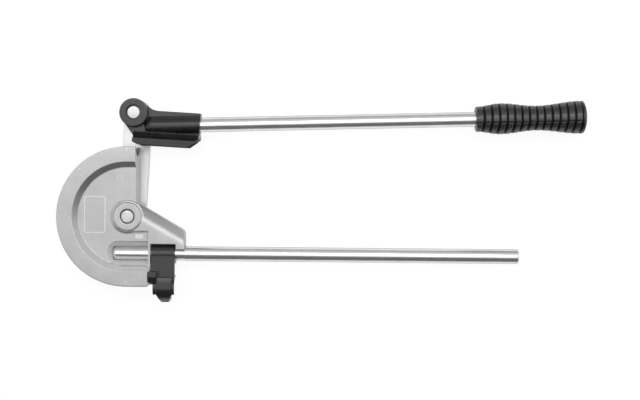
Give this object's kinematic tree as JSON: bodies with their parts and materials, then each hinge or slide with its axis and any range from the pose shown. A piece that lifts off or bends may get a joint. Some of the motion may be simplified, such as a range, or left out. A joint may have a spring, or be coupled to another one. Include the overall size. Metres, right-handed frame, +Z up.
{
  "type": "tube bender",
  "caption": "Lever tube bender: a grooved half-round former on a fixed handle, with a link that swings a grooved shoe and a long gripped lever round it, and a hook for the tube.",
  "frame": {"origin": "bend axis, at the bench: the middle of the former's pivot on the plane of the link's back face", "axes": "+X along the fixed handle towards its free end, +Y from the fixed handle towards the lever, +Z up from the bench towards the side with the pin heads"},
  "size_m": [0.5731, 0.2235, 0.0472],
  "materials": {
    "casting": "as cast, lightly blasted",
    "link": "satin",
    "bar": "bright plated",
    "pin": "turned and plated",
    "hardware": "phosphated",
    "black_coat": "satin black coat",
    "slide": "moulded, fine grain",
    "grip": "moulded, ribbed",
    "bearing": "dark, oiled plain bearing"
  },
  "bodies": {
    "former": {"former": "casting", "former_bush": "bearing", "fixed_bar": "bar", "fixed_bar_pin": "hardware"},
    "link": {"link_arm": "link", "former_pin": "pin", "former_washer": "hardware", "former_pin_clip": "hardware", "shoe_pin": "pin", "shoe_washer": "hardware", "shoe_pin_clip": "hardware"},
    "lever": {"shoe": "black_coat", "shoe_bush": "bearing", "slide_insert": "slide", "slide_screws": "hardware", "lever_bar": "bar", "lever_bar_pin": "hardware", "lever_grip": "grip"},
    "hook": {"tube_hook": "black_coat"}
  },
  "joints": [
    {"name": "arm_swing", "type": "hinge", "parent": "former", "child": "link", "pos_m": [0, 0, 0.0271], "axis": [0, 0, 1], "range_deg": [0, 183]},
    {"name": "lever_swing", "type": "hinge", "parent": "link", "child": "lever", "pos_m": [0.0059, 0.11264, 0.0271], "axis": [0, 0, 1], "range_deg": [0, 180]},
    {"name": "hook_swing", "type": "hinge", "parent": "former", "child": "hook", "pos_m": [0.0412, -0.04, 0.0271], "axis": [-1, 0, 0], "range_deg": [0, 80]}
  ]
}
